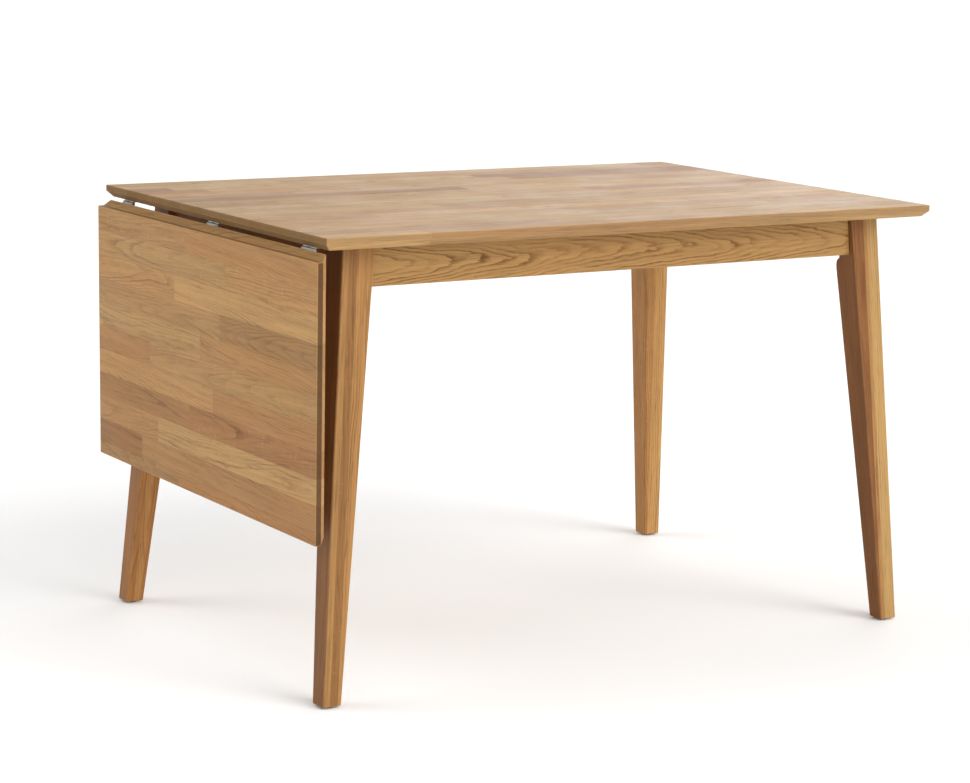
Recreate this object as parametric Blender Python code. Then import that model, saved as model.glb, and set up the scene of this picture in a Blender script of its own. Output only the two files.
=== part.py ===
"""Drop leaf table: an oak dining table with one leaf hinged to its left end.

Metres, +Z up. X runs along the table's length, with the leaf at the -X end. The leaf hangs
down at rest. The world origin is on the floor, below the middle of the table with its leaf
hanging, so the middle of the fixed top stands a little to the right of it.
"""

from math import cos, pi, sin, sqrt

import bmesh
import bpy
from mathutils import Matrix, Vector

# Driving dimensions
TOP_LENGTH = 1.200
TOP_WIDTH = 0.800
TABLE_HEIGHT = 0.750
BOARD_THICKNESS = 0.020
UNDER_BEVEL = 0.010          # 45 degree bevel under the boards' edges
CORNER_RADIUS = 0.0025       # plan radius of the boards' corners
ARRIS = 0.0008               # eased top edge of the boards

LEAF_LENGTH = 0.442
LEAF_JOINT_GAP = 0.0005      # between the top's edge and the raised leaf
HINGE_DROP = 0.005           # hinge axis below the underside of the boards

APRON_HEIGHT = 0.070
APRON_THICKNESS = 0.020
APRON_FRONT_Y = 0.328        # outer face of the long aprons
APRON_END_X = 0.528          # outer face of the end aprons
APRON_ARRIS = 0.0012

LEG_TOP_SIZE = 0.058
LEG_FOOT_SIZE = 0.0335
LEG_TOP_OUT = (0.5352, 0.3351)   # outer faces of a leg under the top
LEG_FOOT_OUT = (0.5900, 0.3826)  # outer faces of a leg on the floor
LEG_ARRIS = 0.0012
SEAT_SUM = 0.784             # the corner seat is the vertical plane |x| + |y| = SEAT_SUM
SHOULDER_LOW = 0.630         # where the inner corner starts to round over
SHOULDER_HIGH = 0.650        # where it meets the seat
GLIDE_HEIGHT = 0.003
GLIDE_RADIUS = 0.010
GLIDE_ARRIS = 0.001
NAIL_RADIUS = 0.0015         # the glide's nail
NAIL_TIP_RADIUS = 0.0004
NAIL_SHANK_TOP = 0.0165
NAIL_TIP = 0.018

CORNER_PLATE = 0.0025
CORNER_PLATE_HEIGHT = 0.052
CORNER_FLANGE = 0.030
BOLT_Z = 0.694
BOLT_RADIUS = 0.004
BOLT_IN_LEG = 0.040
BOLT_OUTSIDE = 0.022
BOLT_TIP = 0.005             # length of the bolt's tapered end in the leg
BOLT_END_ARRIS = 0.001
NUT_RADIUS = 0.0075
NUT_HEIGHT = 0.0065

HINGE_PLACES = {"front": -0.326, "middle": 0.0, "rear": 0.326}
HINGE_LENGTH = 0.036
HINGE_PLATE_WIDTH = 0.028
HINGE_PLATE = 0.0018
KNUCKLE_RADIUS = 0.0034
KNUCKLE_BORE = 0.0020
PIN_RADIUS = 0.0017
PIN_HEAD_RADIUS = 0.0027
PIN_HEAD = 0.0009
PIN_DOME = 0.6               # the head's flat end as a share of its radius

SCREW_RADIUS = 0.0016
SCREW_HEAD_RADIUS = 0.0033
SCREW_HEAD_DEPTH = 0.0016
SCREW_LENGTH = 0.012
SCREW_POINT = 0.004          # length of the pointed end
SCREW_TIP_RADIUS = 0.0003
HINGE_SCREW_X = 0.017        # from the hinge axis
HINGE_SCREW_Y = 0.0105       # from the middle of the hinge

SUPPORT_PLACES = {"front": -0.165, "rear": 0.165}
BAR_WIDTH = 0.030
BAR_THICKNESS = 0.004
BAR_OUTER_X = -0.570
BAR_LENGTH = 0.392
BAR_STOP_DROP = 0.010        # height of the turned-down stop, below the bar
BAR_RUNNING_GAP = 0.0005
BAR_ARRIS = 0.0006
THUMB_RADIUS = 0.030         # radius of the cutter that makes the thumb recess
THUMB_DEPTH = 0.0012
THUMB_X = 0.014              # from the bar's outer end
THUMB_HALF_WIDTH = 0.010
GUIDE_OUTER_X = -0.504
GUIDE_LENGTH = 0.100
GUIDE_SHEET = 0.002
GUIDE_FLANGE = 0.014

BRACKET_PLACES = {"front_left": (-0.20, -1), "front_right": (0.25, -1),
                  "rear_left": (-0.20, 1), "rear_right": (0.25, 1)}
BRACKET_WIDTH = 0.030
BRACKET_LEG = 0.028
BRACKET_SHEET = 0.0025
BRACKET_ARRIS = 0.0004

GAP = 0.0003                 # between pieces that touch
CONE_GAP = 0.00042           # round a countersunk head, for GAP square to the cone
CUT_MARGIN = 0.001           # how far a cutter runs past the face it enters
ROUND_THUMB = 64
ROUND_FINE = 20
ROUND_SMALL = 12
ROUND_TINY = 8

# Places worked out from the dimensions above
HALF_LENGTH = TOP_LENGTH / 2
HALF_WIDTH = TOP_WIDTH / 2
UNDERSIDE = TABLE_HEIGHT - BOARD_THICKNESS
FRAME_TOP = UNDERSIDE - GAP
APRON_BOTTOM = UNDERSIDE - APRON_HEIGHT
HINGE_X = -HALF_LENGTH + UNDER_BEVEL
HINGE_Z = UNDERSIDE - HINGE_DROP
PLATE_TOP = UNDERSIDE - GAP
LEAF_FACE_X = HINGE_X - (TABLE_HEIGHT - HINGE_Z)
CENTRE_X = -(LEAF_FACE_X + HALF_LENGTH) / 2
DIAGONAL = 1 / sqrt(2)
SEAT_DISTANCE = SEAT_SUM * DIAGONAL


def clear_scene():
    for item in list(bpy.data.objects):
        bpy.data.objects.remove(item, do_unlink=True)


def make_material(name, colour, roughness, metallic=0.0):
    material = bpy.data.materials.new(name)
    material.use_nodes = True
    shader = material.node_tree.nodes["Principled BSDF"]
    shader.inputs["Base Color"].default_value = (*colour, 1.0)
    shader.inputs["Roughness"].default_value = roughness
    shader.inputs["Metallic"].default_value = metallic
    material.diffuse_color = (*colour, 1.0)
    return material


def make_empty(name, location, rotation=(0, 0, 0), parent=None):
    empty = bpy.data.objects.new(name, None)
    empty.location = location
    empty.rotation_euler = rotation
    empty.parent = parent
    bpy.context.scene.collection.objects.link(empty)
    return empty


def make_object(name, shape, material=None, parent=None, location=(0, 0, 0), rotation=(0, 0, 0)):
    """Turn a bmesh into a linked object with its faces pointing out."""
    bmesh.ops.recalc_face_normals(shape, faces=shape.faces)
    mesh = bpy.data.meshes.new(name)
    shape.to_mesh(mesh)
    shape.free()
    if material:
        mesh.materials.append(material)
    item = bpy.data.objects.new(name, mesh)
    item.location = location
    item.rotation_euler = rotation
    item.parent = parent
    bpy.context.scene.collection.objects.link(item)
    return item


def loft(rings):
    """A closed solid through rings of the same number of points."""
    shape = bmesh.new()
    loops = [[shape.verts.new(point) for point in ring] for ring in rings]
    count = len(rings[0])
    for low, high in zip(loops, loops[1:]):
        for i in range(count):
            j = (i + 1) % count
            shape.faces.new((low[i], low[j], high[j], high[i]))
    shape.faces.new(loops[0][::-1])
    shape.faces.new(loops[-1])
    return shape


def block(low, high):
    """A box between two opposite corners."""
    shape = bmesh.new()
    size = [b - a for a, b in zip(low, high)]
    middle = [(a + b) / 2 for a, b in zip(low, high)]
    matrix = Matrix.Translation(middle) @ Matrix.Diagonal((*size, 1.0))
    bmesh.ops.create_cube(shape, size=1.0, matrix=matrix)
    return shape


def extruded(outline, low, high):
    """A prism: an outline in X and Z, run along Y."""
    rings = [[(x, y, z) for x, z in outline] for y in (low, high)]
    return loft(rings)


def turned(profile, segments):
    """A solid turned about Z from (radius, height) pairs, lowest first."""
    rings = []
    for radius, height in profile:
        turns = [2 * pi * i / segments for i in range(segments)]
        rings.append([(radius * cos(t), radius * sin(t), height) for t in turns])
    return loft(rings)


def rounded_rectangle(low_x, high_x, low_y, high_y, radius, z, steps=3):
    points = []
    corners = ((high_x, high_y, 0), (low_x, high_y, 1), (low_x, low_y, 2), (high_x, low_y, 3))
    for x, y, quarter in corners:
        centre_x = x - radius if x == high_x else x + radius
        centre_y = y - radius if y == high_y else y + radius
        for i in range(steps + 1):
            turn = (quarter + i / steps) * pi / 2
            points.append((centre_x + radius * cos(turn), centre_y + radius * sin(turn), z))
    return points


def bevel_edges(item, width):
    modifier = item.modifiers.new("Arris", 'BEVEL')
    modifier.width = width
    modifier.segments = 1
    modifier.limit_method = 'ANGLE'
    modifier.angle_limit = pi / 5


def combine(item, tools, operation):
    """Join tool objects to an item, or cut them from it."""
    for tool in tools:
        tool.hide_render = True
        tool.display_type = 'WIRE'
        tool.parent = item.parent
        modifier = item.modifiers.new(operation.title(), 'BOOLEAN')
        modifier.operation = operation
        modifier.object = tool
        modifier.solver = 'EXACT'


def apply_modifiers(item):
    """Keep the evaluated shape as the item's own mesh, and remove the tools it used."""
    tools = [m.object for m in item.modifiers if m.type == 'BOOLEAN']
    bpy.context.view_layer.update()
    graph = bpy.context.evaluated_depsgraph_get()
    mesh = bpy.data.meshes.new_from_object(item.evaluated_get(graph))
    item.modifiers.clear()
    item.data = mesh
    for tool in tools:
        bpy.data.objects.remove(tool, do_unlink=True)


def smooth_round(item):
    item.data.shade_smooth()
    item.data.set_sharp_from_angle(angle=pi / 6)


def rod_cutter(name, radius, start, end, segments=ROUND_SMALL):
    """A round cutter or knuckle between two points."""
    start = Vector(start)
    end = Vector(end)
    length = (end - start).length
    shape = turned([(radius, 0.0), (radius, length)], segments)
    turn = (end - start).to_track_quat('Z', 'Y').to_matrix().to_4x4()
    shape.transform(Matrix.Translation(start) @ turn)
    return make_object(name, shape)


def leg_faces(z):
    """Inner x, outer x, inner y and outer y of a leg at a height."""
    share = z / UNDERSIDE
    size = LEG_FOOT_SIZE + (LEG_TOP_SIZE - LEG_FOOT_SIZE) * share
    outer = [foot + (top - foot) * share for foot, top in zip(LEG_FOOT_OUT, LEG_TOP_OUT)]
    return outer[0] - size, outer[0], outer[1] - size, outer[1]


# Boards

def board(name, low_x, high_x, joint_shift, material, parent, pivot):
    """A board with an under-bevel on its edges, placed relative to a pivot.

    joint_shift moves the underside's high_x edge: inwards like the other edges, or
    outwards where the leaf's edge fits under the bevel of the top.
    """
    inset = UNDER_BEVEL
    rings = [
        rounded_rectangle(low_x + inset, high_x + joint_shift, -HALF_WIDTH + inset,
                          HALF_WIDTH - inset, ARRIS, UNDERSIDE),
        rounded_rectangle(low_x, high_x, -HALF_WIDTH, HALF_WIDTH, CORNER_RADIUS,
                          UNDERSIDE + inset),
        rounded_rectangle(low_x, high_x, -HALF_WIDTH, HALF_WIDTH, CORNER_RADIUS,
                          TABLE_HEIGHT - ARRIS),
        rounded_rectangle(low_x + ARRIS, high_x - ARRIS, -HALF_WIDTH + ARRIS,
                          HALF_WIDTH - ARRIS, CORNER_RADIUS - ARRIS, TABLE_HEIGHT),
    ]
    shape = loft(rings)
    shape.transform(Matrix.Translation((-pivot[0], 0, -pivot[1])))
    return make_object(name, shape, material, parent)


def screw_hole(name, x, y, pivot):
    """A cutter for a screw's hole in a board, up from the underside."""
    start = (x - pivot[0], y, UNDERSIDE - CUT_MARGIN - pivot[1])
    end = (x - pivot[0], y, PLATE_TOP + SCREW_LENGTH - pivot[1])
    return rod_cutter(name, SCREW_RADIUS + GAP, start, end, ROUND_TINY)


def hinge_screw_places(side):
    """Screw centres of the three hinges' plates: side is 1 on the top, -1 on the leaf."""
    places = {}
    for label, y in HINGE_PLACES.items():
        for end, step in (("a", -HINGE_SCREW_Y), ("b", HINGE_SCREW_Y)):
            places[f"{label}_{end}"] = (HINGE_X + side * HINGE_SCREW_X, y + step)
    return places


def guide_screw_places():
    places = {}
    offset = BAR_WIDTH / 2 + BAR_RUNNING_GAP + GUIDE_SHEET + GUIDE_FLANGE / 2
    for label, y in SUPPORT_PLACES.items():
        for end, step in (("a", -offset), ("b", offset)):
            places[f"{label}_{end}"] = (GUIDE_OUTER_X + GUIDE_LENGTH / 2, y + step)
    return places


def make_boards(root, hinge, oak):
    table_top = board("table_top", -HALF_LENGTH, HALF_LENGTH, -UNDER_BEVEL, oak, root, (0, 0))
    places = {**hinge_screw_places(1), **{f"guide_{k}": v for k, v in guide_screw_places().items()}}
    combine(table_top, [screw_hole(f"hole_{k}", *v, (0, 0)) for k, v in places.items()],
            'DIFFERENCE')
    apply_modifiers(table_top)

    pivot = (HINGE_X, HINGE_Z)
    joint_x = -HALF_LENGTH - LEAF_JOINT_GAP
    leaf = board("drop_leaf", joint_x - LEAF_LENGTH, joint_x, UNDER_BEVEL, oak, hinge, pivot)
    places = hinge_screw_places(-1)
    combine(leaf, [screw_hole(f"hole_{k}", *v, pivot) for k, v in places.items()], 'DIFFERENCE')
    apply_modifiers(leaf)


# Legs and aprons

def inner_corner_cut(z):
    """How far the leg's inner corner is cut back at a height, along each face."""
    inner_x, _, inner_y, _ = leg_faces(z)
    if z <= SHOULDER_LOW:
        return 2 * LEG_ARRIS
    full = SEAT_SUM - inner_x - inner_y
    if z >= SHOULDER_HIGH:
        return full
    share = (z - SHOULDER_LOW) / (SHOULDER_HIGH - SHOULDER_LOW)
    rounding = 1 - sqrt(1 - share ** 2)
    return 2 * LEG_ARRIS + (full - 2 * LEG_ARRIS) * rounding


def leg_ring(z, side_x, side_y):
    inner_x, outer_x, inner_y, outer_y = leg_faces(z)
    cut = inner_corner_cut(z)
    plan = ((outer_x, outer_y), (inner_x, outer_y), (inner_x, inner_y + cut),
            (inner_x + cut, inner_y), (outer_x, inner_y))
    return [(side_x * x, side_y * y, z) for x, y in plan]


def make_leg(label, side_x, side_y, root, materials):
    rounding = SHOULDER_HIGH - SHOULDER_LOW
    heights = [GLIDE_HEIGHT, SHOULDER_LOW]
    heights += [SHOULDER_LOW + rounding * sin(i * pi / 8) for i in (1, 2, 3, 4)]
    heights += [FRAME_TOP]
    leg = make_object(f"leg_{label}", loft([leg_ring(z, side_x, side_y) for z in heights]),
                      materials["oak_leg"], root)
    bevel_edges(leg, LEG_ARRIS)

    inward = Vector((-side_x * DIAGONAL, -side_y * DIAGONAL, 0))
    seat = Vector((side_x * SEAT_SUM / 2, side_y * SEAT_SUM / 2, BOLT_Z))
    seat += Vector((side_x, -side_y, 0)) * (leg_faces(BOLT_Z)[0] - leg_faces(BOLT_Z)[2]) / 2
    deep = seat - inward * (BOLT_IN_LEG + GAP)
    near = seat + inward * CUT_MARGIN
    inner_x, outer_x, inner_y, outer_y = leg_faces(GLIDE_HEIGHT)
    foot = Vector((side_x * (inner_x + outer_x) / 2, side_y * (inner_y + outer_y) / 2, 0))
    nail_low = foot + Vector((0, 0, GLIDE_HEIGHT - CUT_MARGIN))
    nail_high = foot + Vector((0, 0, NAIL_TIP + GAP))
    combine(leg, [rod_cutter("bolt_hole", BOLT_RADIUS + GAP, near, deep),
                  rod_cutter("nail_hole", NAIL_RADIUS + GAP, nail_low, nail_high, ROUND_TINY)],
            'DIFFERENCE')
    apply_modifiers(leg)

    glide_profile = [(GLIDE_RADIUS - GLIDE_ARRIS, 0.0), (GLIDE_RADIUS, GLIDE_ARRIS),
                     (GLIDE_RADIUS, GLIDE_HEIGHT - GAP), (NAIL_RADIUS, GLIDE_HEIGHT - GAP),
                     (NAIL_RADIUS, NAIL_SHANK_TOP), (NAIL_TIP_RADIUS, NAIL_TIP)]
    glide = make_object(f"foot_glide_{label}", turned(glide_profile, ROUND_FINE),
                        materials["glide"], root, foot)
    smooth_round(glide)
    make_corner_fixing(label, side_x, side_y, seat, inward, root, materials["steel"])


def make_corner_fixing(label, side_x, side_y, seat, inward, root, steel):
    """The bent plate across a corner of the frame, with its bolt and nut."""
    sheet = CORNER_PLATE
    inner_y = APRON_FRONT_Y - APRON_THICKNESS - GAP
    inner_x = APRON_END_X - APRON_THICKNESS - GAP
    seat_sum = SEAT_SUM - GAP / DIAGONAL
    bend = sheet * (sqrt(2) - 1)
    outer = [(seat_sum - inner_y - CORNER_FLANGE, inner_y), (seat_sum - inner_y, inner_y),
             (inner_x, seat_sum - inner_x), (inner_x, seat_sum - inner_x - CORNER_FLANGE)]
    inner = [(inner_x - sheet, seat_sum - inner_x - CORNER_FLANGE),
             (inner_x - sheet, seat_sum - inner_x - bend),
             (seat_sum - inner_y - bend, inner_y - sheet),
             (seat_sum - inner_y - CORNER_FLANGE, inner_y - sheet)]
    low = BOLT_Z - CORNER_PLATE_HEIGHT / 2
    rings = [[(side_x * x, side_y * y, z) for x, y in outer + inner]
             for z in (low, low + CORNER_PLATE_HEIGHT)]
    plate = make_object(f"corner_plate_{label}", loft(rings), steel, root)
    past_sheet = CORNER_PLATE + GAP + CUT_MARGIN
    hole = rod_cutter("plate_hole", BOLT_RADIUS + GAP, seat + inward * past_sheet,
                      seat - inward * CUT_MARGIN)
    combine(plate, [hole], 'DIFFERENCE')
    apply_modifiers(plate)

    turn = inward.to_track_quat('Z', 'Y').to_euler()
    bolt_profile = [(BOLT_RADIUS / 2, -BOLT_IN_LEG), (BOLT_RADIUS, -BOLT_IN_LEG + BOLT_TIP),
                    (BOLT_RADIUS, BOLT_OUTSIDE - BOLT_END_ARRIS),
                    (BOLT_RADIUS - BOLT_END_ARRIS, BOLT_OUTSIDE)]
    bolt = make_object(f"leg_bolt_{label}", turned(bolt_profile, ROUND_SMALL), steel, root,
                       seat, turn)
    smooth_round(bolt)
    nut_low = GAP + sheet + GAP
    nut = make_object(f"leg_nut_{label}", turned([(NUT_RADIUS, nut_low),
                                                  (NUT_RADIUS, nut_low + NUT_HEIGHT)], 6),
                      steel, root, seat, turn)
    bore = rod_cutter("nut_bore", BOLT_RADIUS + GAP, seat, seat + inward * BOLT_OUTSIDE)
    combine(nut, [bore], 'DIFFERENCE')
    apply_modifiers(nut)


def make_aprons(root, oak):
    low = APRON_BOTTOM
    high = FRAME_TOP
    for label, side in (("front", -1), ("rear", 1)):
        rings = []
        for y in (APRON_FRONT_Y, APRON_FRONT_Y - APRON_THICKNESS):
            reach_low = leg_faces(low)[0] - GAP
            reach_high = leg_faces(high)[0] - GAP
            rings.append([(-reach_low, side * y, low), (reach_low, side * y, low),
                          (reach_high, side * y, high), (-reach_high, side * y, high)])
        apron = make_object(f"apron_{label}", loft(rings), oak, root)
        bevel_edges(apron, APRON_ARRIS)

    for label, side in (("left", -1), ("right", 1)):
        rings = []
        for x in (APRON_END_X, APRON_END_X - APRON_THICKNESS):
            reach_low = leg_faces(low)[2] - GAP
            reach_high = leg_faces(high)[2] - GAP
            rings.append([(side * x, -reach_low, low), (side * x, reach_low, low),
                          (side * x, reach_high, high), (side * x, -reach_high, high)])
        apron = make_object(f"apron_{label}", loft(rings), oak, root)
        bevel_edges(apron, APRON_ARRIS)
        if side < 0:
            half = BAR_WIDTH / 2 + BAR_RUNNING_GAP
            slot_z = UNDERSIDE - BAR_THICKNESS - 2 * BAR_RUNNING_GAP
            outside = -APRON_END_X - CUT_MARGIN
            inside = -APRON_END_X + APRON_THICKNESS + CUT_MARGIN
            slots = [make_object(f"slot_{k}", block((outside, y - half, slot_z),
                                                    (inside, y + half, UNDERSIDE + CUT_MARGIN)))
                     for k, y in SUPPORT_PLACES.items()]
            combine(apron, slots, 'DIFFERENCE')
            apply_modifiers(apron)


# Hinges

def countersunk_screw(name, material, parent, location):
    """A screw that points up, with its head's flat face at its origin."""
    profile = [(SCREW_HEAD_RADIUS, 0.0), (SCREW_RADIUS, SCREW_HEAD_DEPTH),
               (SCREW_RADIUS, SCREW_LENGTH - SCREW_POINT), (SCREW_TIP_RADIUS, SCREW_LENGTH)]
    screw = make_object(name, turned(profile, ROUND_SMALL), material, parent, location)
    smooth_round(screw)


def countersink(name, x, y, z):
    """A cutter for a screw head's seat, up from a plate's lower face."""
    profile = [(SCREW_HEAD_RADIUS + CONE_GAP + CUT_MARGIN, -CUT_MARGIN),
               (SCREW_HEAD_RADIUS + CONE_GAP, 0.0),
               (SCREW_RADIUS + CONE_GAP, SCREW_HEAD_DEPTH),
               (SCREW_RADIUS + CONE_GAP, SCREW_HEAD_DEPTH + CUT_MARGIN)]
    return make_object(name, turned(profile, ROUND_SMALL), location=(x, y, z))


def hinge_plate(name, side, knuckles, reliefs, y, parent, steel, pivot):
    """One half of a hinge: side is 1 for the plate on the top, -1 for the leaf's."""
    axis_x = HINGE_X - pivot[0]
    axis_z = HINGE_Z - pivot[1]
    high = PLATE_TOP - pivot[1]
    low = high - HINGE_PLATE
    ends = sorted((axis_x, axis_x + side * HINGE_PLATE_WIDTH))
    plate = make_object(name, block((ends[0], y - HINGE_LENGTH / 2, low),
                                    (ends[1], y + HINGE_LENGTH / 2, high)), steel, parent)
    barrels = [rod_cutter("barrel", KNUCKLE_RADIUS, (axis_x, y + a, axis_z),
                          (axis_x, y + b, axis_z), ROUND_FINE) for a, b in knuckles]
    combine(plate, barrels, 'UNION')
    cuts = [rod_cutter("relief", KNUCKLE_RADIUS + 2 * GAP, (axis_x, y + a, axis_z),
                       (axis_x, y + b, axis_z), ROUND_FINE) for a, b in reliefs]
    bore = HINGE_LENGTH / 2 + CUT_MARGIN
    cuts.append(rod_cutter("bore", KNUCKLE_BORE, (axis_x, y - bore, axis_z),
                           (axis_x, y + bore, axis_z), ROUND_FINE))
    for step in (-HINGE_SCREW_Y, HINGE_SCREW_Y):
        cuts.append(countersink("seat", axis_x + side * HINGE_SCREW_X, y + step, low))
    combine(plate, cuts, 'DIFFERENCE')
    apply_modifiers(plate)
    smooth_round(plate)


def make_hinges(root, hinge, steel):
    third = HINGE_LENGTH / 6
    half = HINGE_LENGTH / 2
    clear = GAP / 2
    middle = [(-third + clear, third - clear)]
    outer = [(-half, -third - clear), (third + clear, half)]
    middle_relief = [(-third - clear, third + clear)]
    outer_relief = [(-half - CUT_MARGIN, -third + clear), (third - clear, half + CUT_MARGIN)]
    pivot = (HINGE_X, HINGE_Z)
    for label, y in HINGE_PLACES.items():
        hinge_plate(f"hinge_{label}_top_plate", 1, outer, middle_relief, y, root, steel, (0, 0))
        hinge_plate(f"hinge_{label}_leaf_plate", -1, middle, outer_relief, y, hinge, steel, pivot)
        reach = half + GAP
        dome = PIN_HEAD_RADIUS * PIN_DOME
        profile = [(dome, -reach - PIN_HEAD), (PIN_HEAD_RADIUS, -reach - PIN_HEAD / 2),
                   (PIN_HEAD_RADIUS, -reach), (PIN_RADIUS, -reach), (PIN_RADIUS, reach),
                   (PIN_HEAD_RADIUS, reach), (PIN_HEAD_RADIUS, reach + PIN_HEAD / 2),
                   (dome, reach + PIN_HEAD)]
        pin = make_object(f"hinge_{label}_pin", turned(profile, ROUND_SMALL), steel, root,
                          (HINGE_X, y, HINGE_Z), (pi / 2, 0, 0))
        smooth_round(pin)

    head_z = PLATE_TOP - HINGE_PLATE
    for key, (x, y) in hinge_screw_places(1).items():
        countersunk_screw(f"hinge_screw_top_{key}", steel, root, (x, y, head_z))
    for key, (x, y) in hinge_screw_places(-1).items():
        countersunk_screw(f"hinge_screw_leaf_{key}", steel, hinge,
                          (x - HINGE_X, y, head_z - HINGE_Z))


# Leaf supports

def make_support(label, y, root, steel):
    """A flat bar that slides out under the raised leaf, in a guide below the top."""
    bar_high = UNDERSIDE - BAR_RUNNING_GAP
    bar_low = bar_high - BAR_THICKNESS
    half = BAR_WIDTH / 2
    outline = [(0.0, 0.0), (0.0, -BAR_THICKNESS), (BAR_LENGTH - BAR_THICKNESS, -BAR_THICKNESS),
               (BAR_LENGTH - BAR_THICKNESS, -BAR_THICKNESS - BAR_STOP_DROP),
               (BAR_LENGTH, -BAR_THICKNESS - BAR_STOP_DROP), (BAR_LENGTH, 0.0)]
    bar = make_object(f"support_bar_{label}", extruded(outline, -half, half), steel, root,
                      (BAR_OUTER_X, y, bar_high))
    bevel_edges(bar, BAR_ARRIS)
    thumb_z = bar_low + THUMB_DEPTH - THUMB_RADIUS
    thumb_x = BAR_OUTER_X + THUMB_X
    recess = rod_cutter("thumb", THUMB_RADIUS, (thumb_x, y - THUMB_HALF_WIDTH, thumb_z),
                        (thumb_x, y + THUMB_HALF_WIDTH, thumb_z), ROUND_THUMB)
    combine(bar, [recess], 'DIFFERENCE')
    apply_modifiers(bar)

    inner = half + BAR_RUNNING_GAP
    outer = inner + GUIDE_SHEET
    floor = bar_low - BAR_RUNNING_GAP
    high = PLATE_TOP
    section = [(-outer - GUIDE_FLANGE, high), (-outer - GUIDE_FLANGE, high - GUIDE_SHEET),
               (-outer, high - GUIDE_SHEET), (-outer, floor - GUIDE_SHEET),
               (outer, floor - GUIDE_SHEET), (outer, high - GUIDE_SHEET),
               (outer + GUIDE_FLANGE, high - GUIDE_SHEET), (outer + GUIDE_FLANGE, high),
               (inner, high), (inner, floor), (-inner, floor), (-inner, high)]
    rings = [[(x, y + across, z) for across, z in section]
             for x in (GUIDE_OUTER_X, GUIDE_OUTER_X + GUIDE_LENGTH)]
    guide = make_object(f"bar_guide_{label}", loft(rings), steel, root)
    middle = GUIDE_OUTER_X + GUIDE_LENGTH / 2
    seats = [countersink("seat", middle, y + side * (outer + GUIDE_FLANGE / 2), high - GUIDE_SHEET)
             for side in (-1, 1)]
    combine(guide, seats, 'DIFFERENCE')
    apply_modifiers(guide)


def make_supports(root, steel):
    for label, y in SUPPORT_PLACES.items():
        make_support(label, y, root, steel)
    for key, (x, y) in guide_screw_places().items():
        countersunk_screw(f"guide_screw_{key}", steel, root, (x, y, PLATE_TOP - GUIDE_SHEET))


def make_top_brackets(root, steel):
    """Angle brackets that hold the top down to the long aprons."""
    for label, (x, side) in BRACKET_PLACES.items():
        wall = APRON_FRONT_Y - APRON_THICKNESS - GAP
        high = PLATE_TOP
        sheet = BRACKET_SHEET
        section = [(wall, high), (wall, high - BRACKET_LEG), (wall - sheet, high - BRACKET_LEG),
                   (wall - sheet, high - sheet), (wall - BRACKET_LEG, high - sheet),
                   (wall - BRACKET_LEG, high)]
        rings = [[(x + step, side * y, z) for y, z in section]
                 for step in (-BRACKET_WIDTH / 2, BRACKET_WIDTH / 2)]
        bracket = make_object(f"top_bracket_{label}", loft(rings), steel, root)
        bevel_edges(bracket, BRACKET_ARRIS)


def build_table():
    clear_scene()
    materials = {
        "oak": make_material("oak_boards", (0.50, 0.31, 0.15), 0.45),
        "oak_leg": make_material("oak_frame", (0.46, 0.27, 0.12), 0.45),
        "steel": make_material("zinc_steel", (0.62, 0.62, 0.64), 0.35, 1.0),
        "glide": make_material("dark_plastic", (0.05, 0.04, 0.035), 0.6),
    }
    root = make_empty("table_frame", (CENTRE_X, 0, 0))
    hinge = make_empty("leaf_hinge", (HINGE_X, 0, HINGE_Z), (0, -pi / 2, 0), root)
    make_boards(root, hinge, materials["oak"])
    for end, side_x in (("left", -1), ("right", 1)):
        for depth, side_y in (("front", -1), ("rear", 1)):
            make_leg(f"{depth}_{end}", side_x, side_y, root, materials)
    make_aprons(root, materials["oak_leg"])
    make_hinges(root, hinge, materials["steel"])
    make_supports(root, materials["steel"])
    make_top_brackets(root, materials["steel"])


build_table()
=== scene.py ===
"""Looks for the drop leaf table: oak in narrow glued staves, zinc hardware, soft studio light."""

from math import cos, pi, radians, sin

import bmesh
import bpy
from mathutils import Matrix, Vector


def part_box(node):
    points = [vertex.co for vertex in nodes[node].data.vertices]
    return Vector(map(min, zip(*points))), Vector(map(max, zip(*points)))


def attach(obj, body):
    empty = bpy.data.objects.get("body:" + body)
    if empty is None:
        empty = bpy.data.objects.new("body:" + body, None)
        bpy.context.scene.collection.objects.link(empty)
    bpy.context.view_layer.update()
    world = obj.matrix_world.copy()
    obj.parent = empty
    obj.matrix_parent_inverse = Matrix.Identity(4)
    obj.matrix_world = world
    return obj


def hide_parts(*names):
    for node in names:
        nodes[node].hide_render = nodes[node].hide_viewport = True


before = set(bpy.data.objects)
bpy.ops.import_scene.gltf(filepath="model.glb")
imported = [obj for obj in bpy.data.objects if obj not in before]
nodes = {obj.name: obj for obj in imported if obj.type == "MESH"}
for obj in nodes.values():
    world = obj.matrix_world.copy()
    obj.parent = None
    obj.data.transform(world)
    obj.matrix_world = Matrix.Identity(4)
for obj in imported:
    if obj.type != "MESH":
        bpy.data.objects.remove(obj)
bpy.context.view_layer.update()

# Camera: where it stands, and its axes in the row's frame
CAMERA_PLACE = (-2.5591, -3.9521, 1.2693)
CAMERA_RIGHT = (0.845883, -0.532914, 0.022025)
CAMERA_UP = (0.099619, 0.198421, 0.975041)
CAMERA_LENS = 100.0
CAMERA_SHIFT = (-0.0012, 0.1119)

STAVE = 0.042                # width of one glued stave
WALL_LEVEL = 1.00            # brightness of the studio round the table
CEILING_LEVEL = 0.28
# Bright panels: direction, cosine of the angle where each fades out, brightness
PANELS = [((0.25, -0.95, 0.20), 0.35, 1.6), ((0.85, 0.48, 0.22), 0.78, 1.8)]
# Softboxes: name, direction that the light comes from, spread in degrees, strength
SUNS = [("left_light", (-0.75, 0.45, 0.50), 40.0, 0.95),
        ("front_light", (0.35, -0.80, 0.60), 35.0, 1.1),
        ("top_light", (0.0, 0.0, 1.0), 60.0, 0.5)]
FLOOR_HALF = 45.0

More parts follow.
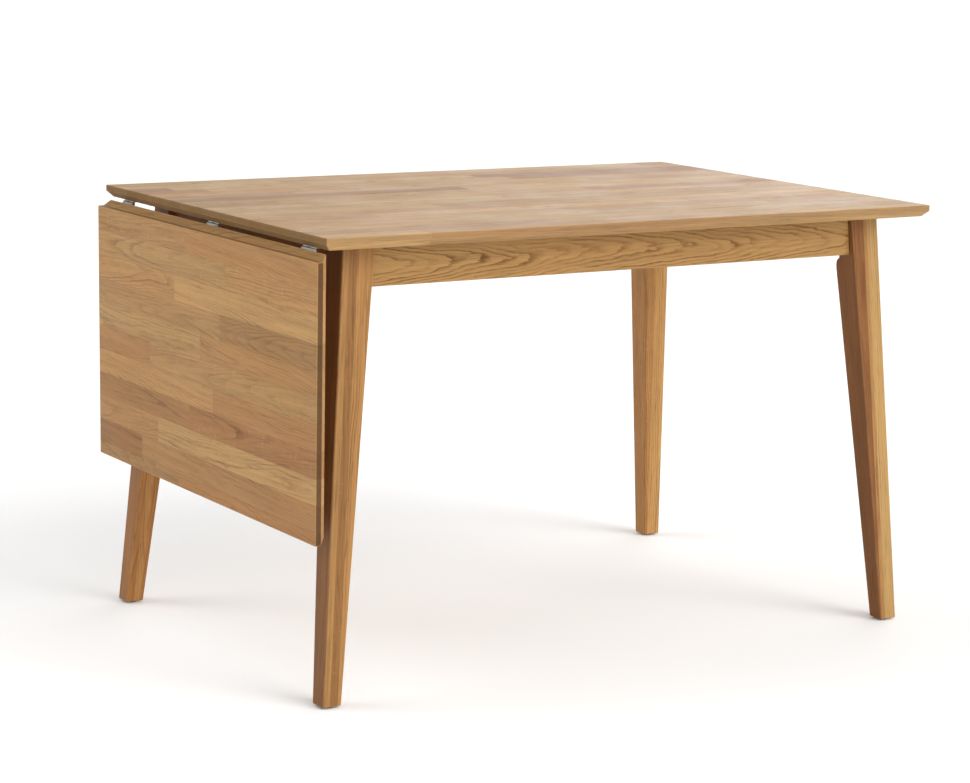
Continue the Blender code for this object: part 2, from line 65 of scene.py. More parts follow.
JOINT_LINE = 0.0004          # half width of the glue line that shows
SHEEN = 0.14                 # specular level of the oiled wood

# Colours of the oak: its body from dark to light, the range of its hue, and its marks
OAK_BODY = [(0.0, (0.184, 0.075, 0.022)), (0.25, (0.280, 0.131, 0.041)),
            (0.50, (0.368, 0.199, 0.068)), (0.75, (0.448, 0.281, 0.106)),
            (1.0, (0.530, 0.366, 0.162))]
OAK_HUES = ((1.03, 0.96, 0.90), (0.97, 1.03, 1.04))
HEARTWOOD = (0.35, 0.155, 0.050)
EARLY_WOOD = (0.46, 0.36, 0.27)      # multiplies the body's colour
PORE = (0.12, 0.060, 0.025)
RAY_FLECK = (0.56, 0.38, 0.20)
END_GRAIN = (0.095, 0.040, 0.014)
GLUE = (0.16, 0.080, 0.035)
# Lighter colour for the edges: wear, and partly a painted highlight along the arrises
WORN_HIGHLIT_OAK = (0.56, 0.37, 0.19)

# Colours of the hardware
PLATE_ZINC = (0.34, 0.34, 0.33)
SCREW_ZINC = (0.66, 0.65, 0.62)
BOLT_ZINC = (0.50, 0.49, 0.47)
RUBBED_ZINC = (0.72, 0.72, 0.71)
GLIDE_PLASTIC = (0.045, 0.036, 0.030)
FLOOR_SHADES = ((0.93, 0.93, 0.925), (0.95, 0.95, 0.945))


class Graph:
    """A material whose node tree is built by plain calls. A value may be a number or a socket."""

    def __init__(self, name):
        self.material = bpy.data.materials.new(name)
        self.material.use_nodes = True
        self.tree = self.material.node_tree
        self.shader = self.tree.nodes["Principled BSDF"]
        self.coords = self.tree.nodes.new("ShaderNodeTexCoord")

    def feed(self, socket, value):
        if isinstance(value, bpy.types.NodeSocket):
            self.tree.links.new(value, socket)
        else:
            socket.default_value = value

    def maths(self, operation, *values, clamp=False):
        node = self.tree.nodes.new("ShaderNodeMath")
        node.operation = operation
        node.use_clamp = clamp
        for socket, value in zip(node.inputs, values):
            self.feed(socket, value)
        return node.outputs[0]

    def add(self, a, b):
        return self.maths('ADD', a, b)

    def times(self, a, b):
        return self.maths('MULTIPLY', a, b)

    def vector(self, x, y, z):
        node = self.tree.nodes.new("ShaderNodeCombineXYZ")
        for socket, value in zip(node.inputs, (x, y, z)):
            self.feed(socket, value)
        return node.outputs[0]

    def split(self, vector):
        node = self.tree.nodes.new("ShaderNodeSeparateXYZ")
        self.feed(node.inputs[0], vector)
        return node.outputs[:3]

    def stretch(self, vector, factors):
        node = self.tree.nodes.new("ShaderNodeVectorMath")
        node.operation = 'MULTIPLY'
        self.feed(node.inputs[0], vector)
        self.feed(node.inputs[1], factors)
        return node.outputs[0]

    def shift(self, a, b):
        node = self.tree.nodes.new("ShaderNodeVectorMath")
        node.operation = 'ADD'
        self.feed(node.inputs[0], a)
        self.feed(node.inputs[1], b)
        return node.outputs[0]

    def dot(self, a, b):
        node = self.tree.nodes.new("ShaderNodeVectorMath")
        node.operation = 'DOT_PRODUCT'
        self.feed(node.inputs[0], a)
        self.feed(node.inputs[1], b)
        return node.outputs["Value"]

    def noise(self, vector, factors, detail=2.0, roughness=0.5):
        """Noise from 0 to 1, where factors are its waves per metre on the three axes."""
        node = self.tree.nodes.new("ShaderNodeTexNoise")
        self.feed(node.inputs["Vector"], self.stretch(vector, factors))
        node.inputs["Scale"].default_value = 1.0
        node.inputs["Detail"].default_value = detail
        node.inputs["Roughness"].default_value = roughness
        return node.outputs["Fac"]

    def random(self, vector):
        """Three random numbers that stay the same for the same vector."""
        node = self.tree.nodes.new("ShaderNodeTexWhiteNoise")
        self.feed(node.inputs["Vector"], vector)
        return self.split(node.outputs["Color"])

    def ramp(self, factor, stops, interpolation='LINEAR'):
        """stops are (place, colour) or (place, grey) pairs."""
        node = self.tree.nodes.new("ShaderNodeValToRGB")
        node.color_ramp.interpolation = interpolation
        elements = node.color_ramp.elements
        while len(elements) < len(stops):
            elements.new(1.0)
        for element, (place, colour) in zip(elements, stops):
            element.position = place
            element.color = (*colour, 1.0) if isinstance(colour, tuple) else (colour,) * 3 + (1.0,)
        self.feed(node.inputs[0], factor)
        return node.outputs[0]

    def smooth(self, value, low, high, out_low=0.0, out_high=1.0):
        """A soft step from out_low to out_high as the value goes from low to high."""
        node = self.tree.nodes.new("ShaderNodeMapRange")
        node.interpolation_type = 'SMOOTHSTEP'
        for socket, number in zip(node.inputs, (value, low, high, out_low, out_high)):
            self.feed(socket, number)
        return node.outputs[0]

    def mix(self, factor, a, b, blend='MIX'):
        node = self.tree.nodes.new("ShaderNodeMix")
        node.data_type = 'RGBA'
        node.blend_type = blend
        self.feed(node.inputs[0], factor)
        for socket, value in ((node.inputs[6], a), (node.inputs[7], b)):
            self.feed(socket, (*value, 1.0) if isinstance(value, tuple) else value)
        return node.outputs[2]

    def edges(self, radius):
        """How close a point is to an edge of the piece, from 0 to 1."""
        bevel = self.tree.nodes.new("ShaderNodeBevel")
        bevel.samples = 4
        bevel.inputs["Radius"].default_value = radius
        true = self.tree.nodes.new("ShaderNodeNewGeometry")
        close = self.dot(bevel.outputs[0], true.outputs["Normal"])
        return self.smooth(close, 0.995, 0.86)

    def finish(self, colour, roughness, height, depth, metallic=0.0, strength=0.6):
        """Feeds the shader. depth is the bump's, in metres, where height is 1."""
        self.feed(self.shader.inputs["Base Color"], colour)
        self.feed(self.shader.inputs["Roughness"], roughness)
        self.shader.inputs["Metallic"].default_value = metallic
        bump = self.tree.nodes.new("ShaderNodeBump")
        bump.inputs["Strength"].default_value = strength
        bump.inputs["Distance"].default_value = depth
        self.feed(bump.inputs["Height"], height)
        self.feed(self.shader.inputs["Normal"], bump.outputs[0])
        return self.material


def oak_figure(graph, along, across, deep, chance, tone, ring=0.0036, taper=0.07, sway=0.009,
               band=0.72, jagged=0.0012, streaks=0.60, dashes=0.26):
    """Solid oak for one block: growth rings round an offset pith, fibres, pores and flecks.

    along, across and deep are the block's own coordinates in metres, across from its middle
    and deep from one face. chance holds its three random numbers, and tone runs from 0, dark,
    to 1, light. ring is the rings' spacing, taper how fast they run out along the grain, sway
    how far they wander, jagged how rough their outline is and band how dark they are. streaks
    and dashes are the strengths of the long and short marks in the grain. Returns colour, height.
    """
    first, second, third = chance
    far = graph.vector(graph.times(first, 9.0), graph.times(second, 7.0), graph.times(third, 5.0))
    place = graph.shift(graph.vector(along, across, deep), far)

    stroll = graph.noise(graph.vector(graph.add(along, first), second, third), (3.5, 9, 9))
    side = graph.add(across, graph.maths('MULTIPLY_ADD', first, 0.07, -0.035))
    side = graph.add(side, graph.maths('MULTIPLY_ADD', stroll, 0.040, -0.020))
    depth = graph.add(deep, graph.maths('MULTIPLY_ADD', second, 0.030, 0.008))
    reach = graph.maths('SQRT', graph.add(graph.times(side, side), graph.times(depth, depth)))
    run_out = graph.times(along, graph.maths('MULTIPLY_ADD', third, taper * 2, -taper))
    wander = graph.maths('MULTIPLY_ADD', graph.noise(place, (3.0, 10, 10), 2.0), sway * 2, -sway)
    ripple = graph.maths('MULTIPLY_ADD', graph.noise(place, (28, 110, 110), 3.0), jagged * 2, -jagged)
    waved = graph.add(graph.add(reach, run_out), graph.add(wander, ripple))
    count = graph.times(waved, 1.0 / ring)
    turn = graph.maths('FRACT', count)
    year = graph.random(graph.vector(graph.maths('FLOOR', count), first, 1.0))
    early = graph.ramp(turn, [(0.0, 0.0), (0.07, 1.0), (0.20, 0.75), (0.50, 0.12), (1.0, 0.0)])
    patchy = graph.smooth(graph.noise(place, (5, 60, 60), 2.0), 0.32, 0.66, 0.30, 1.0)
    early = graph.times(early, graph.times(patchy, graph.maths('MULTIPLY_ADD', year[0], 0.8, 0.2)))

    fibre = graph.noise(place, (12, 480, 480), 3.0, 0.65)
    streak = graph.noise(place, (3.5, 110, 110), 3.0, 0.6)
    dash = graph.smooth(graph.noise(place, (18, 330, 330), 2.0, 0.6), 0.56, 0.72)
    pore = graph.smooth(graph.noise(place, (48, 900, 900), 1.0), 0.56, 0.68)
    pore = graph.times(pore, graph.maths('MULTIPLY_ADD', early, 0.75, 0.25))
    fleck = graph.smooth(graph.noise(place, (170, 55, 300), 1.0), 0.64, 0.74)
    fleck = graph.times(fleck, graph.smooth(second, 0.55, 0.80))

    body = graph.ramp(tone, OAK_BODY)
    hue = graph.mix(third, *OAK_HUES)
    body = graph.mix(1.0, body, hue, 'MULTIPLY')
    drift = graph.noise(place, (2.0, 14, 14), 2.0)
    body = graph.mix(graph.smooth(drift, 0.40, 0.75, 0.0, 0.22), body, HEARTWOOD)
    dark = graph.mix(1.0, body, EARLY_WOOD, 'MULTIPLY')
    colour = graph.mix(graph.maths('MULTIPLY', early, band, clamp=True), body, dark)
    shade = graph.add(graph.maths('MULTIPLY_ADD', fibre, 0.40, 0.80),
                      graph.maths('MULTIPLY_ADD', streak, streaks, -streaks / 2))
    shade = graph.maths('SUBTRACT', shade, graph.times(dash, dashes))
    colour = graph.mix(1.0, colour, graph.vector(shade, shade, shade), 'MULTIPLY')
    colour = graph.mix(graph.times(pore, 0.50), colour, PORE)
    colour = graph.mix(graph.times(fleck, 0.14), colour, RAY_FLECK)
    height = graph.maths('SUBTRACT', graph.times(fibre, 0.5),
                         graph.add(graph.times(pore, 0.8), graph.times(early, 0.35)))
    return colour, height


def finish_oak(graph, colour, height, grain_axis, line=None, sheen=SHEEN,
               end_colour=END_GRAIN, end_from=0.75):
    """Worn edges, lightened partly as wear and partly as a painted highlight along the arrises,
    darker end grain, glue lines and an oiled sheen. End grain begins where the cosine between
    the surface's normal and the grain passes end_from."""
    normal = graph.coords.outputs["Normal"]
    end = graph.smooth(graph.maths('ABSOLUTE', graph.dot(normal, grain_axis)),
                       end_from, end_from + 0.20)
    colour = graph.mix(graph.times(end, 0.85), colour, end_colour)
    if line is not None:
        colour = graph.mix(graph.times(line, 0.45), colour, GLUE)
        height = graph.maths('SUBTRACT', height, graph.times(line, 0.6))
    place = graph.coords.outputs["Object"]
    patch = graph.noise(place, (35, 35, 35), 3.0)
    # Edges lighter and smoother: wear, and partly a painted highlight along the arrises
    worn_highlight = graph.times(graph.edges(0.003), graph.smooth(patch, 0.30, 0.60, 0.35, 1.0))
    colour = graph.mix(graph.times(worn_highlight, 0.30), colour, WORN_HIGHLIT_OAK)
    gloss = graph.noise(place, (9, 9, 9), 3.0)
    rough = graph.add(graph.smooth(gloss, 0.30, 0.70, 0.42, 0.50), graph.times(height, -0.05))
    rough = graph.add(rough, graph.maths('MULTIPLY_ADD', worn_highlight, -0.07, graph.times(end, 0.25)))
    graph.shader.inputs["Specular IOR Level"].default_value = sheen
    return graph.finish(colour, rough, height, 0.00035)


def stave_oak(name, order, grain_axis, start, length, rows, seed, surface, **figure):
    """Oak glued up from staves, with the blocks in each stave joined end to end.

    order picks along, across and deep from X, Y and Z. start is where the first stave, the
    first block and the wood's depth begin, length is a block's length, and each row gives its
    joint's place as a share of length, then the tones of its odd and even blocks. surface
    goes to finish_oak and figure to oak_figure.
    """
    graph = Graph(name)
    axes = graph.split(graph.coords.outputs["Object"])
    along, across, deep = (axes[i] for i in order)
    deep = graph.add(deep, -start[2])
    steps = graph.times(graph.add(across, -start[1]), 1.0 / STAVE)
    row = graph.maths('FLOOR', steps)
    share = graph.maths('DIVIDE', graph.add(row, 0.5), float(len(rows)))
    stops = [(i / len(rows), tuple(values)) for i, values in enumerate(rows)]
    joint, odd, even = graph.split(graph.ramp(share, stops, 'CONSTANT'))
    run = graph.maths('SUBTRACT', graph.times(graph.add(along, -start[0]), 1.0 / length), joint)
    block = graph.maths('FLOOR', run)
    parity = graph.maths('FLOORED_MODULO', block, 2.0)
    chance = graph.random(graph.vector(row, block, seed))
    base = graph.add(graph.times(parity, odd),
                     graph.times(graph.maths('SUBTRACT', 1.0, parity), even))
    tone = graph.maths('ADD', base, graph.maths('MULTIPLY_ADD', chance[0], 0.16, -0.08), clamp=True)

    own = graph.times(graph.add(graph.maths('FRACT', steps), -0.5), STAVE)
    slope = graph.maths('MULTIPLY_ADD', chance[1], 0.10, -0.05)
    from_middle = graph.times(graph.add(graph.maths('FRACT', run), -0.5), length)
    tilted = graph.add(own, graph.times(from_middle, slope))
    colour, height = oak_figure(graph, along, tilted, deep, chance, tone, **figure)

    from_row = graph.maths('PINGPONG', steps, 0.5)
    from_end = graph.maths('PINGPONG', run, 0.5)
    row_line = graph.smooth(graph.times(from_row, STAVE), JOINT_LINE, 0.0)
    end_line = graph.smooth(graph.times(from_end, length), JOINT_LINE, 0.0)
    line = graph.maths('MAXIMUM', row_line, end_line)
    return finish_oak(graph, colour, height, grain_axis, line, **surface)


def beam_oak(name, order, grain_axis, start, slopes, layers, seed, tone, chance=None, **figure):
    """Oak for a leg or apron.

    start is its middle across and its low face, taken at the floor for a leg. slopes lean the
    grain with the piece. tone is the first layer's, and layers holds the place across and the
    tone of each further one; a solid piece has none. chance, if given, fixes where the pith
    lies.
    """
    graph = Graph(name)
    axes = graph.split(graph.coords.outputs["Object"])
    along, across, deep = (axes[i] for i in order)
    across = graph.add(across, graph.maths('MULTIPLY_ADD', along, -slopes[0], -start[0]))
    deep = graph.add(deep, graph.maths('MULTIPLY_ADD', along, -slopes[1], -start[1]))
    layer = 0.0
    base = tone
    line = None
    for place, next_tone in layers:
        past = graph.maths('GREATER_THAN', across, place)
        layer = graph.add(past, layer)
        base = graph.maths('MULTIPLY_ADD', past, next_tone - tone, base)
        tone = next_tone
        gap = graph.maths('ABSOLUTE', graph.add(across, -place))
        near = graph.smooth(gap, JOINT_LINE * 1.5, 0.0)
        line = near if line is None else graph.maths('MAXIMUM', line, near)
    chance = chance or graph.random(graph.vector(layer, seed, 3.0))
    colour, height = oak_figure(graph, along, across, deep, chance, base, **figure)
    return finish_oak(graph, colour, height, grain_axis, line)


def set_material(item, material):
    item.data.materials.clear()
    item.data.materials.append(material)


# Oak pieces

TOP_BLOCK = 0.62             # length of the blocks in a stave
LEAF_BLOCK = 0.80
LEAF_FIRST_STAVE = 0.020     # part of the leaf's lowest stave that was cut off

# Staves of the top from front to rear, and of the leaf from its lower edge up: where the first
# block ends, as a share of a block, then the tones of the odd and the even blocks
TOP_ROWS = [(0.30, 0.62, 0.50), (0.72, 0.50, 0.62), (0.15, 0.60, 0.55), (0.55, 0.48, 0.60),
            (0.85, 0.62, 0.50), (0.35, 0.52, 0.64), (0.10, 0.66, 0.55), (0.62, 0.56, 0.48),
            (0.45, 0.50, 0.62), (0.90, 0.62, 0.58), (0.25, 0.34, 0.56), (0.70, 0.50, 0.60),
            (0.92, 0.22, 0.58), (0.40, 0.40, 0.62), (0.60, 0.58, 0.50), (0.20, 0.30, 0.55),
            (0.12, 0.26, 0.60), (0.50, 0.58, 0.46), (0.80, 0.52, 0.60), (0.35, 0.60, 0.50)]
LEAF_ROWS = [(0.60, 0.36, 0.34), (0.78, 0.30, 0.26), (0.70, 0.68, 0.46), (0.55, 0.30, 0.34),
             (0.44, 0.36, 0.58), (0.74, 0.50, 0.42), (0.50, 0.44, 0.62), (0.41, 0.26, 0.48),
             (0.62, 0.64, 0.60), (0.38, 0.50, 0.58), (0.57, 0.44, 0.46)]

TOP_SPREAD = (0.52, 1.16)    # middle tone, and how far the others lie from it
LEAF_SPREAD = (0.45, 0.68)
TOP_SURFACE = {"sheen": 0.31, "end_colour": (0.142, 0.070, 0.013), "end_from": 0.45}
LEAF_SURFACE = {"sheen": 0.16, "end_colour": (0.050, 0.022, 0.009)}


def spread_tones(rows, middle, contrast):
    """The same staves with their tones drawn towards a middle tone, or away from it."""
    return [(joint, *(middle + (tone - middle) * contrast for tone in tones))
            for joint, *tones in rows]


top_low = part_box("table_top")[0]
set_material(nodes["table_top"], stave_oak("oak_top", (0, 1, 2), (1, 0, 0), top_low, TOP_BLOCK,
                                           spread_tones(TOP_ROWS, *TOP_SPREAD), 3.0,
                                           TOP_SURFACE, streaks=1.0, dashes=0.34))
leaf_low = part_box("drop_leaf")[0]
leaf_start = (leaf_low.y, leaf_low.z - LEAF_FIRST_STAVE, leaf_low.x)
set_material(nodes["drop_leaf"], stave_oak("oak_leaf", (1, 2, 0), (0, 1, 0), leaf_start, LEAF_BLOCK,
                                           spread_tones(LEAF_ROWS, *LEAF_SPREAD), 8.0,
                                           LEAF_SURFACE))

# Aprons: the order of along, across and deep, then seed, tone, place of the pith and figure
LONG_FIGURE = {"ring": 0.0046, "taper": 0.10, "sway": 0.012, "band": 1.5, "jagged": 0.0030}
END_FIGURE = {"ring": 0.0046, "taper": 0.10, "sway": 0.010, "band": 1.3, "jagged": 0.0025}
APRONS = {"front": ((0, 2, 1), 1.0, 0.50, (0.55, 0.35, 0.95), LONG_FIGURE),
          "rear": ((0, 2, 1), 4.0, 0.50, (0.40, 0.30, 0.20), LONG_FIGURE),
          # The left apron's low tone, 0.25, is painted shade for the dark slot behind the hanging
          # leaf
          "left": ((1, 2, 0), 6.0, 0.25, None, END_FIGURE),
          "right": ((1, 2, 0), 7.0, 0.45, None, END_FIGURE)}
for side, (order, seed, tone, pith, figure) in APRONS.items():
    low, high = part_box(f"apron_{side}")
    apron_start = ((low.z + high.z) / 2, low[order[2]])
    grain_axis = tuple(int(axis == order[0]) for axis in range(3))
    set_material(nodes[f"apron_{side}"], beam_oak(f"oak_apron_{side}", order, grain_axis,
                                                  apron_start, (0.0, 0.0), (), seed, tone, pith,
                                                  **figure))

# Legs: seed and tone of the first layer across, then each further layer's place and tone
FOOT_SIZE = 0.0335
LEG_HEIGHT = 0.730
LEG_SPLAY = (0.0548, 0.0475)         # from the top to the floor, along X and Y
LEG_FIGURE = {"ring": 0.0045, "taper": 0.03, "sway": 0.006, "band": 0.9}
# front_left's first, outermost layer, tone 0.0, is painted shade: it darkens the leg's -X face in the
# slot behind the hanging leaf. front_right's first layer, tone 0.0, also makes its -X face dark.
LEG_LAYERS = {"front_left": (11.0, 0.0, ((-0.015, 0.34), (-0.004, 0.12), (0.010, 0.40))),
              "front_right": (12.0, 0.0, ((-0.015, 0.36), (-0.008, 0.60))),
              "rear_left": (13.0, 0.22, ((-0.004, 0.36), (0.010, 0.22))),
              "rear_right": (14.0, 0.40, ((-0.012, 0.60), (0.008, 0.68)))}
for label, (seed, tone, layers) in LEG_LAYERS.items():
    low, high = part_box(f"leg_{label}")
    side_x = -1 if "left" in label else 1
    side_y = -1 if "front" in label else 1
    leg_start = (low.x + FOOT_SIZE / 2 if side_x < 0 else high.x - FOOT_SIZE / 2,
                 low.y if side_y < 0 else high.y - FOOT_SIZE)
    slopes = (-side_x * (LEG_SPLAY[0] / LEG_HEIGHT), -side_y * (LEG_SPLAY[1] / LEG_HEIGHT))
    set_material(nodes[f"leg_{label}"], beam_oak(f"oak_leg_{label}", (2, 0, 1), (0, 0, 1),
                                                 leg_start, slopes, layers, seed, tone,
                                                 **LEG_FIGURE))


# Hardware

def zinc(name, brushed, tint):
    """Zinc-plated steel: faint brushing, cloudy plating and rubbed edges. brushed holds the
    waves per metre of the brushing."""
    graph = Graph(name)
    place = graph.coords.outputs["Object"]
    cloud = graph.noise(place, (120, 120, 120), 3.0)
    lines = graph.noise(place, brushed, 2.0)
    dull = tuple(0.72 * c for c in tint)
    colour = graph.mix(graph.smooth(cloud, 0.35, 0.70), tint, dull)
    colour = graph.mix(graph.times(graph.edges(0.0006), 0.5), colour, RUBBED_ZINC)
    rough = graph.add(graph.smooth(cloud, 0.30, 0.75, 0.28, 0.42), graph.times(lines, 0.08))
    height = graph.add(lines, graph.times(cloud, 0.4))
    return graph.finish(colour, rough, height, 0.0001, 1.0, 0.3)


def plastic(name, tint):
    """Dark moulded plastic, scuffed where it meets the floor."""
    graph = Graph(name)
    place = graph.coords.outputs["Object"]
    fine = graph.noise(place, (1500, 1500, 1500), 2.0)
    scuff = graph.smooth(graph.noise(place, (180, 500, 180), 3.0), 0.50, 0.72)
    colour = graph.mix(graph.times(scuff, 0.4), tint, tuple(min(1, 2.6 * c) for c in tint))
    rough = graph.add(graph.maths('MULTIPLY_ADD', fine, 0.12, 0.48), graph.times(scuff, 0.12))
    return graph.finish(colour, rough, graph.add(fine, graph.times(scuff, -0.5)), 0.00008)


zinc_plate = zinc("zinc_plate", (80, 1800, 80), PLATE_ZINC)
zinc_bar = zinc("zinc_bar", (30, 1600, 1600), PLATE_ZINC)
zinc_screw = zinc("zinc_screw", (600, 600, 600), SCREW_ZINC)
zinc_bolt = zinc("zinc_bolt", (600, 600, 600), BOLT_ZINC)
glide_plastic = plastic("glide_plastic", GLIDE_PLASTIC)
for name, item in nodes.items():
    if name.startswith("foot_glide"):
        set_material(item, glide_plastic)
    elif name.startswith(("support_bar", "bar_guide")):
        set_material(item, zinc_bar)
    elif name.startswith("leg_nut") or "screw" in name:
        set_material(item, zinc_screw)
    elif name.startswith(("hinge", "corner_plate", "top_bracket")):
        set_material(item, zinc_plate)


def ring_of(shape, radii, height):
    """One ring of vertices round Z, with a radius for each."""
    step = 2 * pi / len(radii)
    return [shape.verts.new((r * cos(i * step), r * sin(i * step), height))
            for i, r in enumerate(radii)]


def bridge(shape, lower, upper, smooth=False):
    """Quads between two rings of as many vertices."""
    for i in range(len(lower)):
        k = (i + 1) % len(lower)
        shape.faces.new((lower[i], lower[k], upper[k], upper[i])).smooth = smooth


def finished_mesh(name, shape, material):
    bmesh.ops.recalc_face_normals(shape, faces=shape.faces)
    mesh = bpy.data.meshes.new(name)
    shape.to_mesh(mesh)
    shape.free()
    mesh.materials.append(material)
    return mesh


def stand_in(name, node, mesh, matrix, body):
    """Puts a finer mesh where a CAD piece of zinc-plated steel is."""
    item = bpy.data.objects.new(name, mesh)
    bpy.context.scene.collection.objects.link(item)
    item.matrix_world = matrix
    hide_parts(node)
    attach(item, body)


# Screws with a cross recess, in place of the plain ones

SCREW_SIDES = 32
SCREW_PROFILE = ((0.0033, 0.0), (0.0016, 0.0016), (0.0016, 0.0080), (0.0003, 0.0120))
SCREW_TURN = 0.7             # radians from one screw's recess to the next
RECESS_REACH = 0.0017
RECESS_HALF = 0.00042
RECESS_DEPTH = 0.0010


def cross_outline():
    """The recess's twelve corners, going round."""
    a, b = RECESS_HALF, RECESS_REACH
    quarter = [(b, -a), (b, a), (a, a)]
    return [(x * c - y * s, x * s + y * c) for c, s in ((1, 0), (0, 1), (-1, 0), (0, -1))
            for x, y in quarter]


def screw_mesh():
    """A countersunk screw along +Z, with its head's flat face at height zero."""
    shape = bmesh.new()
    rings = [ring_of(shape, [radius] * SCREW_SIDES, height) for radius, height in SCREW_PROFILE]
    mouth = [shape.verts.new((x, y, 0.0)) for x, y in cross_outline()]
    base = [shape.verts.new((x, y, RECESS_DEPTH)) for x, y in cross_outline()]
    for lower, upper in (*zip(rings, rings[1:]), (mouth, base)):
        bridge(shape, lower, upper)
    rims = [shape.edges.get((ring[i - 1], ring[i])) for ring in (rings[0], mouth)
            for i in range(len(ring))]
    bmesh.ops.triangle_fill(shape, edges=rims, use_beauty=True)
    shape.faces.new(rings[-1])
    shape.faces.new(base)
    return finished_mesh("cross_screw", shape, zinc_screw)


def place_screw(name, mesh, count):
    """Puts a cross-head screw where the CAD screw is, turned as if by hand."""
    low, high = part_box(name)
    middle = (low + high) / 2
    if "leaf" in name:
        head, turn = Vector((high.x, middle.y, middle.z)), Matrix.Rotation(-pi / 2, 4, 'Y')
    else:
        head, turn = Vector((middle.x, middle.y, low.z)), Matrix.Identity(4)
    spun = Matrix.Translation(head) @ turn @ Matrix.Rotation(count * SCREW_TURN, 4, 'Z')
    stand_in(f"cross_{name}", name, mesh, spun, "leaf" if "leaf" in name else "table")


cross_screw = screw_mesh()
for count, name in enumerate(sorted(n for n in nodes if "screw" in n)):
    place_screw(name, cross_screw, count)


# Leg bolts with a real thread past the nut, in place of the plain ones

BOLT_SIDES = 24
BOLT_RADIUS = 0.004
BOLT_ENDS = (-0.0315, 0.0305)    # tip in the leg and free end, from the bolt's middle
BOLT_TAPER = 0.005               # length of the tip's taper, to half the radius
BOLT_ARRIS = 0.001               # chamfer at the free end
THREAD_START = 0.0150            # inside the nut
THREAD_PITCH = 0.00125
THREAD_DEPTH = 0.00068
THREAD_STEPS = 6                 # rings in each turn of the thread


def thread_radius(height, share):
    """Radius of the threaded end at a height and a share of a turn."""
    turns = (height - THREAD_START) / THREAD_PITCH - share
    groove = 1.0 - abs(2.0 * (turns % 1.0) - 1.0)
    run_in = min(1.0, max(0.0, (height - THREAD_START) / THREAD_PITCH))
    limit = BOLT_RADIUS - max(0.0, height - (BOLT_ENDS[1] - BOLT_ARRIS))
    return min(limit, BOLT_RADIUS - THREAD_DEPTH * groove * run_in)


def bolt_mesh():
    """A leg bolt along +Z about its middle: tapered tip, plain shank, then a helical thread."""
    tip, end = BOLT_ENDS
    rings = round((end - THREAD_START) / THREAD_PITCH * THREAD_STEPS)
    heights = [THREAD_START + (end - THREAD_START) * i / rings for i in range(rings + 1)]
    radii = [(tip, [BOLT_RADIUS / 2] * BOLT_SIDES), (tip + BOLT_TAPER, [BOLT_RADIUS] * BOLT_SIDES)]
    radii += [(z, [thread_radius(z, i / BOLT_SIDES) for i in range(BOLT_SIDES)]) for z in heights]
    shape = bmesh.new()
    loops = [ring_of(shape, ring, height) for height, ring in radii]
    for lower, upper in zip(loops, loops[1:]):
        bridge(shape, lower, upper, smooth=True)
    shape.faces.new(loops[0])
    shape.faces.new(loops[-1])
    return finished_mesh("threaded_bolt", shape, zinc_bolt)


threaded_bolt = bolt_mesh()
for name in sorted(n for n in nodes if n.startswith("leg_bolt")):
    low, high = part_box(name)
    inward = Vector((1 if "left" in name else -1, 1 if "front" in name else -1, 0))
    aimed = inward.to_track_quat('Z', 'Y').to_matrix().to_4x4()
    stand_in(f"threaded_{name}", name, threaded_bolt, Matrix.Translation((low + high) / 2) @ aimed,
             "table")


# Floor, light and camera

def floor_material():
    graph = Graph("pale_floor")
    place = graph.coords.outputs["Object"]
    cloud = graph.noise(place, (0.6, 0.6, 0.6), 2.0)
    colour = graph.mix(graph.smooth(cloud, 0.3, 0.7), *FLOOR_SHADES)
    fine = graph.noise(place, (90, 90, 90), 2.0)
    return graph.finish(colour, 0.85, fine, 0.0002)


def make_floor():
    shape = bmesh.new()
    bmesh.ops.create_grid(shape, x_segments=4, y_segments=4, size=FLOOR_HALF)
    mesh = bpy.data.meshes.new("studio_floor")
    shape.to_mesh(mesh)
    shape.free()
    floor = bpy.data.objects.new("studio_floor", mesh)
    bpy.context.scene.collection.objects.link(floor)
    mesh.materials.append(floor_material())


def soft_sun(name, direction, spread, strength):
    """Even, soft light that comes from a direction, as a large distant softbox gives."""
    data = bpy.data.lights.new(name, 'SUN')
    data.angle = radians(spread)
    data.energy = strength
    light = bpy.data.objects.new(name, data)
    light.rotation_euler = Vector(direction).to_track_quat('Z', 'Y').to_euler()
    bpy.context.scene.collection.objects.link(light)


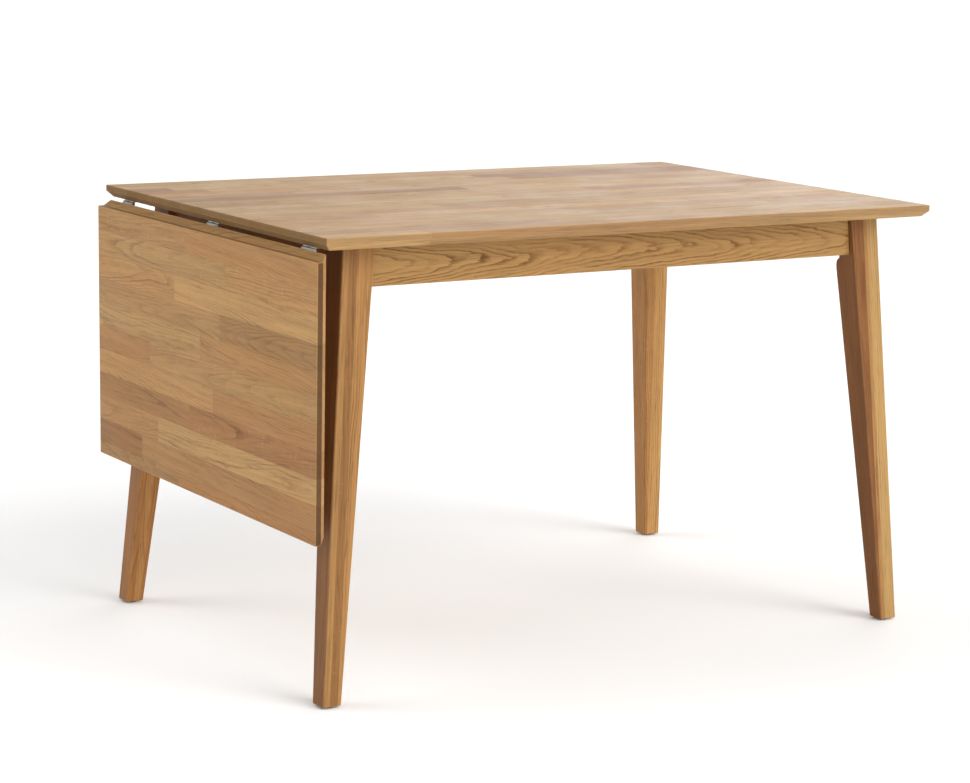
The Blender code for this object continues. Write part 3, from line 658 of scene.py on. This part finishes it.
def make_world():
    """White studio walls, brightest near the horizon, with large panels in front and behind."""
    world = bpy.data.worlds.new("studio")
    world.use_nodes = True
    tree = world.node_tree
    background = tree.nodes["Background"]
    coords = tree.nodes.new("ShaderNodeTexCoord")

    def sweep(value, low, high, out_low, out_high):
        node = tree.nodes.new("ShaderNodeMapRange")
        node.interpolation_type = 'SMOOTHSTEP'
        for socket, number in zip(node.inputs[1:], (low, high, out_low, out_high)):
            socket.default_value = number
        tree.links.new(value, node.inputs[0])
        return node.outputs[0]

    def panel(direction, low, level):
        node = tree.nodes.new("ShaderNodeVectorMath")
        node.operation = 'DOT_PRODUCT'
        tree.links.new(coords.outputs["Generated"], node.inputs[0])
        node.inputs[1].default_value = Vector(direction).normalized()
        return sweep(node.outputs["Value"], low, 1.0, 0.0, level)

    split = tree.nodes.new("ShaderNodeSeparateXYZ")
    tree.links.new(coords.outputs["Generated"], split.inputs[0])
    total = sweep(split.outputs["Z"], 0.10, 0.55, WALL_LEVEL, CEILING_LEVEL)
    for direction, low, level in PANELS:
        node = tree.nodes.new("ShaderNodeMath")
        tree.links.new(total, node.inputs[0])
        tree.links.new(panel(direction, low, level), node.inputs[1])
        total = node.outputs[0]
    tree.links.new(total, background.inputs["Strength"])
    background.inputs["Color"].default_value = (1.0, 1.0, 1.0, 1.0)
    bpy.context.scene.world = world
    bpy.context.scene.view_settings.view_transform = 'Standard'


def make_camera():
    data = bpy.data.cameras.new("studio_camera")
    data.sensor_width = 36.0
    data.lens = CAMERA_LENS
    data.shift_x, data.shift_y = CAMERA_SHIFT
    data.clip_end = 200.0
    camera = bpy.data.objects.new("studio_camera", data)
    right = Vector(CAMERA_RIGHT).normalized()
    up = Vector(CAMERA_UP).normalized()
    turn = Matrix((right, up, right.cross(up))).transposed()
    camera.matrix_world = Matrix.Translation(CAMERA_PLACE) @ turn.to_4x4()
    bpy.context.scene.collection.objects.link(camera)
    bpy.context.scene.camera = camera


make_floor()
make_world()
for sun in SUNS:
    soft_sun(*sun)
make_camera()
